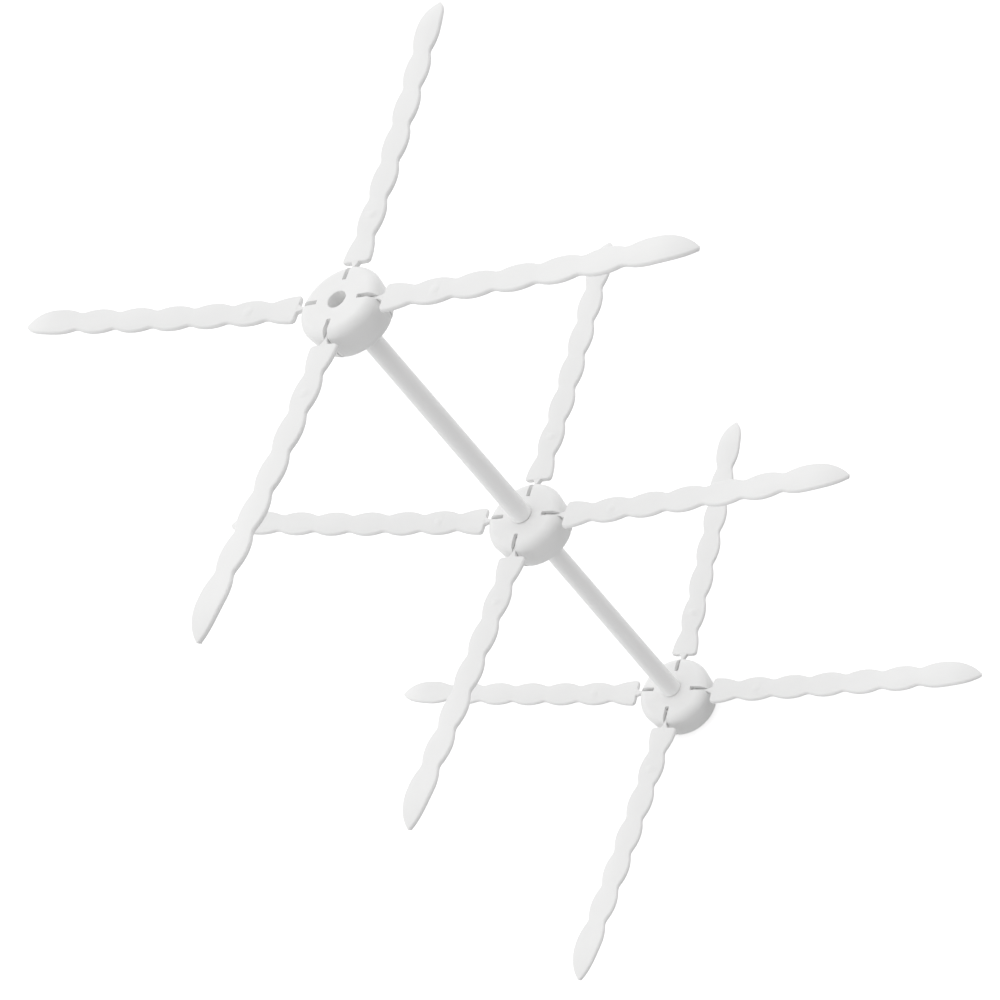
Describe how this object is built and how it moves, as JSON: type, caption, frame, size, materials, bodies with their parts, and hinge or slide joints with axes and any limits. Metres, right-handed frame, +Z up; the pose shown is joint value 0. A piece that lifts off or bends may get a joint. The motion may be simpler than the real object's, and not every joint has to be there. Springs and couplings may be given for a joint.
{
  "type": "fondant drying rack",
  "caption": "White plastic drying tree for fondant bows: round hubs on a jointed pole, each with scalloped, leaf-tipped arms that lie out flat and fold up along the pole.",
  "frame": {"origin": "centre of the lowest hub's flat underside, on the surface that the rack stands on", "axes": "+Z up along the pole; +X along the right-hand arms and +Y along the back arms"},
  "size_m": [0.3749, 0.3748, 0.394],
  "materials": {
    "hub_plastic": "smooth semi-matte moulded white",
    "arm_plastic": "smooth semi-matte moulded white",
    "pole_plastic": "smooth semi-matte moulded white"
  },
  "bodies": {
    "foot": {"hub_shell_bottom": "hub_plastic", "hub_base_bottom": "hub_plastic", "pole_lower": "pole_plastic"},
    "middle": {"hub_shell_middle": "hub_plastic", "hub_base_middle": "hub_plastic", "pole_upper": "pole_plastic"},
    "top": {"hub_shell_top": "hub_plastic", "hub_base_top": "hub_plastic"},
    "arm_bottom_right": {"arm_bottom_right": "arm_plastic"},
    "arm_bottom_back": {"arm_bottom_back": "arm_plastic"},
    "arm_bottom_left": {"arm_bottom_left": "arm_plastic"},
    "arm_bottom_front": {"arm_bottom_front": "arm_plastic"},
    "arm_middle_right": {"arm_middle_right": "arm_plastic"},
    "arm_middle_back": {"arm_middle_back": "arm_plastic"},
    "arm_middle_left": {"arm_middle_left": "arm_plastic"},
    "arm_middle_front": {"arm_middle_front": "arm_plastic"},
    "arm_top_right": {"arm_top_right": "arm_plastic"},
    "arm_top_back": {"arm_top_back": "arm_plastic"},
    "arm_top_left": {"arm_top_left": "arm_plastic"},
    "arm_top_front": {"arm_top_front": "arm_plastic"}
  },
  "joints": [
    {"name": "middle_turn", "type": "hinge", "parent": "foot", "child": "middle", "pos_m": [0, 0, 0.1783], "axis": [0, 0, 1], "continuous": true},
    {"name": "top_turn", "type": "hinge", "parent": "middle", "child": "top", "pos_m": [0, 0, 0.3566], "axis": [0, 0, 1], "continuous": true},
    {"name": "bottom_right_fold", "type": "hinge", "parent": "foot", "child": "arm_bottom_right", "pos_m": [0.013, 0, 0.0165], "axis": [0, -1, 0], "range_deg": [-3.5, 81]},
    {"name": "bottom_back_fold", "type": "hinge", "parent": "foot", "child": "arm_bottom_back", "pos_m": [0, 0.013, 0.0165], "axis": [1, 0, 0], "range_deg": [-2.5, 82]},
    {"name": "bottom_left_fold", "type": "hinge", "parent": "foot", "child": "arm_bottom_left", "pos_m": [-0.013, 0, 0.0165], "axis": [0, 1, 0], "range_deg": [-2.5, 82]},
    {"name": "bottom_front_fold", "type": "hinge", "parent": "foot", "child": "arm_bottom_front", "pos_m": [0, -0.013, 0.0165], "axis": [-1, 0, 0], "range_deg": [-7.8, 76.7]},
    {"name": "middle_right_fold", "type": "hinge", "parent": "middle", "child": "arm_middle_right", "pos_m": [0.013, 0, 0.1948], "axis": [0, -1, 0], "range_deg": [-4.9, 79.6]},
    {"name": "middle_back_fold", "type": "hinge", "parent": "middle", "child": "arm_middle_back", "pos_m": [0, 0.013, 0.1948], "axis": [1, 0, 0], "range_deg": [-0.5, 84]},
    {"name": "middle_left_fold", "type": "hinge", "parent": "middle", "child": "arm_middle_left", "pos_m": [-0.013, 0, 0.1948], "axis": [0, 1, 0], "range_deg": [-5.8, 78.7]},
    {"name": "middle_front_fold", "type": "hinge", "parent": "middle", "child": "arm_middle_front", "pos_m": [0, -0.013, 0.1948], "axis": [-1, 0, 0], "range_deg": [-5.8, 78.7]},
    {"name": "top_right_fold", "type": "hinge", "parent": "top", "child": "arm_top_right", "pos_m": [0.013, 0, 0.3731], "axis": [0, -1, 0], "range_deg": [-0.7, 83.8]},
    {"name": "top_back_fold", "type": "hinge", "parent": "top", "child": "arm_top_back", "pos_m": [0, 0.013, 0.3731], "axis": [1, 0, 0], "range_deg": [-3.8, 80.7]},
    {"name": "top_left_fold", "type": "hinge", "parent": "top", "child": "arm_top_left", "pos_m": [-0.013, 0, 0.3731], "axis": [0, 1, 0], "range_deg": [-6.5, 78]},
    {"name": "top_front_fold", "type": "hinge", "parent": "top", "child": "arm_top_front", "pos_m": [0, -0.013, 0.3731], "axis": [-1, 0, 0], "range_deg": [-3, 81.5]}
  ]
}
